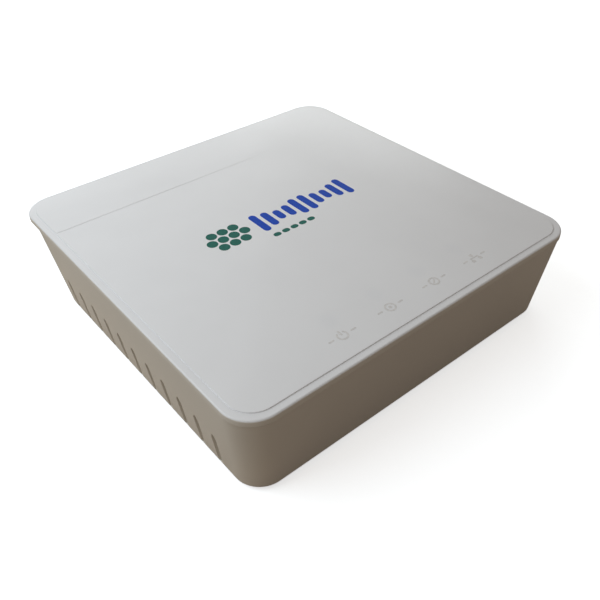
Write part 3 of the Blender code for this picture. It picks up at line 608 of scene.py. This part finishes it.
def make_cover(looks):
    """Cover: rounded rim, raised plateau with a cross line that dies away, lip and screw bosses."""
    lip_thick, lip_depth, foot_bevel, step_bevel, step_foot = 1.2, 2.4, 0.12, 0.08, 0.05
    lip_bottom = CEILING - lip_depth
    rings = [
        lip_ring(CEILING, lip_thick),
        lip_ring(lip_bottom, lip_thick),
        lip_ring(lip_bottom),
        lip_ring(RIM_BOTTOM),
        cover_ring(RIM_BOTTOM, foot_bevel),
        cover_ring(RIM_BOTTOM + foot_bevel, 0.0),
    ]
    rings += [cover_ring(RIM - drop, inset) for inset, drop in arc_steps(EDGE_ROUND, 10)]
    rings.append(cover_ring(RIM, PLATEAU_INSET - step_foot, PLATEAU_CORNER + step_foot))
    for inset, drop in arc_steps(step_bevel, 8):
        rings.append(cover_ring(PLATEAU_TOP - drop, PLATEAU_INSET + inset, PLATEAU_CORNER))
    bm = bmesh.new()
    add_loft(bm, rings)
    cover = make_mesh("cover_shell", bm)
    cuts = bmesh.new()
    window_radius, window_skin, smooth_angle = 2.2, 0.8, 14
    for x in LIGHT_X:
        add_rod(cuts, (x, LIGHT_Y, 0), UP, window_radius, CEILING - 1, PLATEAU_TOP - window_skin, 24)
    add_cross_line(cuts)
    combine(cover, cuts, "DIFFERENCE", smooth_angle)
    bosses = bmesh.new()
    for x, y in spots_of("case_screw"):
        add_rod(bosses, (x, y, 0), UP, BOSS_RADIUS, COVER_LOW.z, CEILING + 0.5, 24)
    combine(cover, bosses, "UNION", smooth_angle)
    finish_piece(cover, looks["cover_white"], CHASSIS, "cover_white", "top_cover")


def add_cross_line(cuts):
    """A shallow cutter across the plateau, which dies away from -X to +X."""
    line_y, half_width, deepest, lean, above = 32.6, 0.3, 0.1, 1.6, 0.3
    start = PLATEAU_INSET - 0.2 - COVER_HALF
    rings = []
    fade = ((start, deepest), (-20, 0.08), (4, 0.045), (24, 0.004))      # x, depth there
    for x, depth in fade:
        width = half_width * (0.4 + 0.6 * depth / deepest)
        bottom = width - lean * depth
        rings.append([
            (x, line_y - width, PLATEAU_TOP + above),
            (x, line_y - width, PLATEAU_TOP),
            (x, line_y - bottom, PLATEAU_TOP - depth),
            (x, line_y + bottom, PLATEAU_TOP - depth),
            (x, line_y + width, PLATEAU_TOP),
            (x, line_y + width, PLATEAU_TOP + above),
        ])
    add_loft(cuts, rings)


def add_side_vents(cuts):
    """Slots with arched tops through both side walls, wider outside, down into the floor's edge."""
    count, pitch, middle_y, top, arch_height, sill = 11, 7.05, -1.8, 11.5, 2.8, CASE_BOTTOM + 0.3
    sections = ((44.5, 0.5), (48.4, 0.5), (COVER_HALF + 1, 1.65))      # distance from the middle, half width
    turn = [math.radians(15 * i) for i in range(13)]
    for side in (-1, 1):
        for i in range(count):
            y = middle_y + pitch * (i - (count - 1) / 2)
            rings = []
            for x, half_width in sections:
                arch_z = [top - arch_height * (1 - math.sin(a)) for a in turn]
                arch = [(y + half_width * math.cos(a), z) for a, z in zip(turn, arch_z)]
                outline = [(y + half_width, sill)] + arch + [(y - half_width, sill)]
                rings.append([(side * x, u, v) for u, v in outline])
            add_loft(cuts, rings)


def add_socket_openings(cuts):
    """The holes in the back wall, each a little larger than what shows through it."""
    inside, outside = WALL_HALF - BACK_LEAN - WALL - 2, COVER_HALF + 1
    socket_corner, pinhole_radius, button_half, button_corner = 0.35, 1.1, 4.0, 1.5
    for node in ("optical_adapter", "lan_jack_shield", "dc_jack_housing"):
        low, high = span(node)
        centre = (low + high) / 2
        half = (high - low) / 2
        size = (half.x + GAP, half.z + GAP, socket_corner)
        add_loft(cuts, [upright_ring(centre.x, centre.z, *size, y) for y in (inside, outside)])
    reset = middle("reset_plunger")
    add_rod(cuts, (reset.x, 0, reset.z), (0, 1, 0), pinhole_radius, inside, outside, 32)
    button = middle("power_button")
    size = (button_half, button_half, button_corner)
    add_loft(cuts, [upright_ring(button.x, button.z, *size, y) for y in (inside, outside)])


def keyhole_outline(x, y, head, slot, length):
    """A round hole with a narrower slot that leads towards -Y and ends round."""
    start = math.asin(slot / head) - math.pi / 2
    sweep = 2 * math.pi - 2 * math.asin(slot / head)
    round_head = [start + sweep * i / 36 for i in range(37)]
    points = [(x + head * math.cos(a), y + head * math.sin(a)) for a in round_head]
    tip = [math.pi + math.pi * i / 16 for i in range(17)]
    return points + [(x + slot * math.cos(a), y - length + slot * math.sin(a)) for a in tip]


def add_floor_openings(cuts):
    """Vents, wall-hanging keyholes, foot recesses and the label recess in the floor."""
    below, above = CASE_BOTTOM - 1, FLOOR_TOP + 1
    count, pitch, half, near, far, corner = 8, 6.0, 1.1, -32, -12, 1.05
    for i in range(count):
        x = pitch * (i - (count - 1) / 2)
        add_loft(cuts, [level_ring(x - half, x + half, near, far, corner, z, 6) for z in (below, above)])
    keyhole_x, keyhole_y, head, slot, length = 30.0, 2.0, 3.6, 1.9, 7.0
    for x in (-keyhole_x, keyhole_x):
        add_prism(cuts, keyhole_outline(x, keyhole_y, head, slot, length), below, above)
    foot_recess_radius, foot_recess, label_corner, label_recess = 4.9, 0.6, 1.8, 0.35
    for x, y in spots_of("rubber_foot"):
        add_rod(cuts, (x, y, 0), UP, foot_recess_radius, below, CASE_BOTTOM + foot_recess)
    low, high = span("rating_label")
    sides = (low.x - GAP, high.x + GAP, low.y - GAP, high.y + GAP)
    levels = (below, CASE_BOTTOM + label_recess)
    add_loft(cuts, [level_ring(*sides, label_corner, z, 8) for z in levels])


def make_case(looks):
    """Case: leaning walls, floor, posts and every opening."""
    lip_bevel, foundation, hole_floor = 0.1, 0.5, 0.4
    rings = [wall_ring(CASE_BOTTOM + drop, inset) for inset, drop in reversed(arc_steps(FLOOR_EDGE, 5))]
    rings += [wall_ring(WALL_TOP - lip_bevel), wall_ring(WALL_TOP, lip_bevel)]
    rings += [wall_ring(WALL_TOP, WALL), wall_ring(FLOOR_TOP, WALL)]
    bm = bmesh.new()
    add_loft(bm, rings)
    case = make_mesh("case_shell", bm)
    posts = bmesh.new()
    cuts = bmesh.new()
    post_radius, stand_radius, post_top, hole, well, shoulder, above = 4.5, 3.0, 5.7, 1.5, 3.1, 3.9, 7
    mouth = well + 0.2
    profile = [(0, 0), (mouth, 0), (mouth, CASE_BOTTOM), (well, CASE_BOTTOM + 0.2)]
    profile += [(well, shoulder), (hole, shoulder), (hole, above), (0, above)]
    for post, stand in zip(spots_of("case_screw"), spots_of("board_screw")):
        add_rod(posts, (*post, 0), UP, post_radius, FLOOR_TOP - foundation, post_top)
        add_turned(cuts, (*post, 0), UP, profile)
        add_rod(posts, (*stand, 0), UP, stand_radius, FLOOR_TOP - foundation, post_top)
        add_rod(cuts, (*stand, 0), UP, hole, FLOOR_TOP + hole_floor, above)
    combine(case, posts, "UNION")
    add_side_vents(cuts)
    add_socket_openings(cuts)
    add_floor_openings(cuts)
    combine(case, cuts, "DIFFERENCE")
    finish_piece(case, looks["case_white"], CHASSIS, "case_white", "bottom_case")


# Printing on the plateau

def add_flat(bm, outline):
    """A film of ink over an outline."""
    add_prism(bm, outline, PLATEAU_TOP, PLATEAU_TOP + INK)


def add_stroke(bm, path, half_width, end_steps=6):
    """A film of ink along a path, with round ends."""
    points = [Vector(p) for p in path]
    left, right = [], []
    for i, here in enumerate(points):
        ahead = (points[min(i + 1, len(points) - 1)] - points[max(i - 1, 0)]).normalized()
        side = Vector((-ahead.y, ahead.x)) * half_width
        left.append(here + side)
        right.append(here - side)
    head = (points[-1] - points[-2]).normalized()
    tail = (points[0] - points[1]).normalized()
    front = round_end(points[-1], head, half_width, end_steps)
    rear = round_end(points[0], tail, half_width, end_steps)
    add_flat(bm, [tuple(p) for p in right + front + left[::-1] + rear])


def round_end(centre, direction, radius, steps):
    """Points on the half circle beyond a stroke's end, anticlockwise."""
    start = math.atan2(direction.y, direction.x) - math.pi / 2
    angles = [start + math.pi * i / steps for i in range(1, steps)]
    return [centre + Vector((radius * math.cos(a), radius * math.sin(a))) for a in angles]


def add_ring(bm, x, y, outer, inner, steps, start=0.0, sweep=2 * math.pi):
    """A ring of ink, or part of one."""
    angles = [start + sweep * i / steps for i in range(steps + 1)]
    for a, b in zip(angles, angles[1:]):
        corners = [(outer, a), (outer, b), (inner, b), (inner, a)]
        add_flat(bm, [(x + r * math.cos(t), y + r * math.sin(t)) for r, t in corners])


def add_dot(bm, x, y, radius, steps=32):
    """A round film of ink."""
    angles = [2 * math.pi * i / steps for i in range(steps)]
    add_flat(bm, [(x + radius * math.cos(a), y + radius * math.sin(a)) for a in angles])


def add_patch(bm, x, y, half_x, half_y):
    """A rectangle of ink."""
    corners = ((-1, -1), (1, -1), (1, 1), (-1, 1))
    add_flat(bm, [(x + u * half_x, y + v * half_y) for u, v in corners])


def print_piece(name, bm, look):
    """Turns the films of one ink into a piece on the cover."""
    bmesh.ops.remove_doubles(bm, verts=bm.verts, dist=1e-4)
    obj = make_mesh(name, bm)
    finish_piece(obj, look, CHASSIS, "cover_white")


def make_mark(looks):
    """A generic mark: a bundle of fibre ends, a swell of bars, and a row of short dashes."""
    green = bmesh.new()
    bundle_x, bundle_y, pitch, row_pitch, dot = -17.75, 2.1, 3.32, 3.32 * 0.9, 1.47
    for row, count in ((-1, 3), (0, 4), (1, 3)):
        for i in range(count):
            add_dot(green, bundle_x + pitch * (i - (count - 1) / 2), bundle_y + row * row_pitch, dot)
    dash_count, dash_start, dash_y, dash_pitch, dash_length, dash_half = 5, -7.8, -4.95, 2.8, 0.65, 0.8
    for i in range(dash_count):
        left = dash_start + dash_pitch * i
        add_stroke(green, [(left, dash_y), (left + dash_length, dash_y)], dash_half)
    print_piece("print_green", green, looks["ink_green"])
    blue = bmesh.new()
    count, start, bar_y, pitch, half_stroke, average, swing = 10, -7.85, 2.2, 3.25, 1.08, 2.3, 1.05
    for i in range(count):
        x = start + pitch * i
        reach = average + swing * math.cos(4 * math.pi * i / (count - 1))
        add_stroke(blue, [(x, bar_y - reach), (x, bar_y + reach)], half_stroke)
    print_piece("print_blue", blue, looks["ink_blue"])


def add_network(bm, x, y):
    """Three boxes joined by a bar: one above it and two below."""
    box_half_x, box_half_y, box_y, side_x = 0.5, 0.42, 1.05, 1.2
    stem_half_x, stem_half_y, stem_y = 0.18, 0.22, 0.41
    bar_half_x, bar_half_y = 1.38, 0.19
    for u, v in ((0, box_y), (-side_x, -box_y), (side_x, -box_y)):
        add_patch(bm, x + u, y + v, box_half_x, box_half_y)
        add_patch(bm, x + u, y + math.copysign(stem_y, v), stem_half_x, stem_half_y)
    add_patch(bm, x, y, bar_half_x, bar_half_y)


def make_pictograms(looks):
    """Faint generic pictograms under the lights: power, light, loss of light, network."""
    y, half, radius, dot = -44.4, 0.24, 1.45, 0.45
    inner = radius - 2 * half
    spread, shift, tick_start, tick_end = 1.045, -0.05, 2.6, 3.7
    for name, light_x in zip(LIGHT_NAMES, LIGHT_X):
        x = light_x * spread + shift
        bm = bmesh.new()
        for side in (-1, 1):
            add_stroke(bm, [(x + side * tick_start, y), (x + side * tick_end, y)], half)
        if name == "power":
            add_ring(bm, x, y, radius, inner, 40, math.radians(125), math.radians(290))
            add_stroke(bm, [(x, y + 0.3), (x, y + radius + 0.1)], half)
        elif name == "optical":
            add_ring(bm, x, y, radius, inner, 48)
            add_dot(bm, x, y, dot)
        elif name == "loss":
            add_ring(bm, x, y, radius, inner, 48)
            add_stroke(bm, [(x - dot, y - dot), (x + dot, y + dot)], half)
        else:
            add_network(bm, x, y)
        print_piece(f"print_{name}", bm, looks["ink_grey"])


# Small pieces

def make_feet(looks):
    """Rubber feet with a rounded rim and a shallow dished sole."""
    for i in range(4):
        node = f"rubber_foot_{i + 1}"
        low, high = span(node)
        centre = (low + high) / 2
        r = (high.x - low.x) / 2
        profile = [(0, 0.18), (r - 1.5, 0.15), (r - 1.0, 0.0), (r - 0.6, 0.0)]      # sole
        profile += [(r - 0.25, 0.1), (r - 0.08, 0.28), (r, 0.5)]                    # rounded rim
        profile += [(r, high.z), (0, high.z)]
        bm = bmesh.new()
        add_turned(bm, (centre.x, centre.y, 0), UP, profile)
        foot = make_mesh(f"foot_{i + 1}", bm, 60)
        finish_piece(foot, looks["foot_rubber"], CHASSIS, "foot_rubber", node)


def make_case_screws(looks):
    """Pan-head screws with a cross recess, deep in the case's posts."""
    head_height, recess_depth, crest, root, thread_start, thread_pitch = 1.6, 0.9, 1.2, 1.0, 2.0, 1.0
    long, wide = 1.4, 0.27
    outline = [
        (long, -wide), (long, wide), (wide, wide), (wide, long), (-wide, long), (-wide, wide),
        (-long, wide), (-long, -wide), (-wide, -wide), (-wide, -long), (wide, -long), (wide, -wide),
    ]
    for i in range(4):
        node = f"case_screw_{i + 1}"
        low, high = span(node)
        centre = (low + high) / 2
        head, r = low.z, (high.x - low.x) / 2
        profile = [(0, 0), (r * 0.55, 0), (r * 0.85, 0.18), (r * 0.97, 0.5), (r, 0.9)]
        profile += [(r, head_height), (crest, head_height)]
        for turn in range(8):
            z = thread_start + turn * thread_pitch
            profile += [(crest, z), (root, z + 0.4 * thread_pitch), (crest, z + 0.8 * thread_pitch)]
        profile += [(0.4, high.z - low.z), (0, high.z - low.z)]
        bm = bmesh.new()
        add_turned(bm, (centre.x, centre.y, head), UP, profile, 32)
        screw = make_mesh(f"screw_{i + 1}", bm)
        cross = bmesh.new()
        placed = [(centre.x + u, centre.y + v) for u, v in outline]
        add_prism(cross, placed, head - 1, head + recess_depth)
        combine(screw, cross, "DIFFERENCE")
        finish_piece(screw, looks["screw_steel"], CHASSIS, "screw_steel", node)


def dress_nodes(looks):
    """Gives each CAD node its slot's material and welded edges."""
    slots = {part["node"]: part["material_slot"] for part in frame["record"]["subparts"]}
    for name, node in frame["nodes"].items():
        node.data.materials.clear()
        node.data.materials.append(looks[slots[name]])
        weld = node.modifiers.new("weld", "WELD")
        weld.merge_threshold = 0.001 * MM


# Stage

def floor_look():
    """Pale, seen only from above, and without the full bounce of a white table."""
    look = Look("floor_pale")
    to_camera = look.nodes.new("ShaderNodeLightPath").outputs["Is Camera Ray"]
    pale = varied(look, FLOOR_SEEN, 0.004, 40.0)
    bounce = FLOOR_BOUNCE
    across = look.axes()[0]
    for (start, end), colour in FLOOR_BANDS:
        bounce = look.mix(look.ramp(across, start, end), bounce, colour)
    look.set(Base_Color=look.mix(to_camera, bounce, pale), Roughness=0.9)
    look.put(look.shader.inputs["Specular IOR Level"], 0.0)

    away = look.ramp(look.vector("LENGTH", look.place), *FLOOR_FADE, FLOOR_LIFT, 1.0)
    glow = look.nodes.new("ShaderNodeEmission")
    look.put(glow.inputs["Color"], WHITE)
    look.put(glow.inputs["Strength"], look.math("MULTIPLY", away, to_camera))
    seen = look.nodes.new("ShaderNodeAddShader")
    look.put(seen.inputs[0], look.shader.outputs[0])
    look.put(seen.inputs[1], glow.outputs[0])

    surface = look.nodes.new("ShaderNodeMixShader")
    look.put(surface.inputs[0], camera_is_below(look))
    look.put(surface.inputs[1], seen.outputs[0])
    look.put(surface.inputs[2], look.nodes.new("ShaderNodeBsdfTransparent").outputs[0])
    look.put(look.nodes["Material Output"].inputs["Surface"], surface.outputs[0])
    return look.material


def camera_is_below(look):
    """1 where the camera is under the floor, so that the underside of the case can be seen."""
    camera = look.nodes.new("ShaderNodeVectorTransform")
    camera.vector_type = "POINT"
    camera.convert_from = "CAMERA"
    camera.convert_to = "WORLD"
    camera.inputs[0].default_value = (0.0, 0.0, 0.0)
    return look.math("LESS_THAN", look.axes(camera.outputs[0])[2], 0.0)


def make_stage():
    """A pale floor, a white surround, and soft light from the rear left."""
    reach, level = 2500.0, -0.02
    corners = ((-reach, -reach), (reach, -reach), (reach, reach), (-reach, reach))
    bm = bmesh.new()
    bm.faces.new([bm.verts.new((x, y, level)) for x, y in corners])
    floor = make_mesh("floor", bm)
    floor.data.materials.append(floor_look())
    make_surround()
    for name, place, aim, size, power, colour in LIGHTS:
        add_light(name, place, aim, size, power, colour)


def make_surround():
    """White to the camera, and a dim warm light on everything."""
    world = bpy.data.worlds.new("surround")
    bpy.context.scene.world = world
    world.use_nodes = True
    nodes, links = world.node_tree.nodes, world.node_tree.links
    white = nodes["Background"]
    white.inputs["Color"].default_value = (*WHITE, 1.0)
    ambient = nodes.new("ShaderNodeBackground")
    ambient.inputs["Color"].default_value = (*AMBIENT_COLOUR, 1.0)
    ambient.inputs["Strength"].default_value = AMBIENT
    path = nodes.new("ShaderNodeLightPath")
    choose = nodes.new("ShaderNodeMixShader")
    links.new(path.outputs["Is Camera Ray"], choose.inputs[0])
    links.new(ambient.outputs[0], choose.inputs[1])
    links.new(white.outputs[0], choose.inputs[2])
    links.new(choose.outputs[0], nodes["World Output"].inputs["Surface"])


def add_light(name, place, aim, size, power, colour):
    """A square soft light at a place in millimetres, turned towards its aim."""
    lamp = bpy.data.lights.new(name, "AREA")
    lamp.size = size * MM
    lamp.energy = power
    lamp.color = colour
    obj = bpy.data.objects.new(name, lamp)
    obj.location = Vector(place) * MM
    away = Vector(place) - Vector(aim)
    obj.rotation_euler = away.to_track_quat("Z", "Y").to_euler()
    bpy.context.scene.collection.objects.link(obj)


def make_camera():
    """The camera. Azimuth is measured from -Y and is negative towards -X; elevation is above the table."""
    azimuth, elevation, roll = math.radians(-39.543), math.radians(38.955), math.radians(-0.815)
    distance, aim = 201.6, Vector((4.504, -3.939, 0.481))
    back = Vector((
        math.sin(azimuth) * math.cos(elevation),
        -math.cos(azimuth) * math.cos(elevation),
        math.sin(elevation),
    ))
    right = Vector((math.cos(azimuth), math.sin(azimuth), 0.0))
    up = back.cross(right)
    camera = bpy.data.cameras.new("camera")
    camera.sensor_width = 36.0
    camera.lens = 41.706
    camera.shift_x = -0.01984
    camera.shift_y = -0.01062
    camera.clip_start = 0.01
    obj = bpy.data.objects.new("camera", camera)
    turn = Matrix((right, up, back)).transposed().to_4x4() @ Matrix.Rotation(roll, 4, "Z")
    obj.matrix_world = Matrix.Translation((aim + back * distance) * MM) @ turn
    bpy.context.scene.collection.objects.link(obj)
    bpy.context.scene.camera = obj


looks = make_looks()
dress_nodes(looks)
make_cover(looks)
make_case(looks)
make_mark(looks)
make_pictograms(looks)
make_feet(looks)
make_case_screws(looks)
make_stage()
make_camera()
bpy.context.scene.view_settings.view_transform = "Standard"
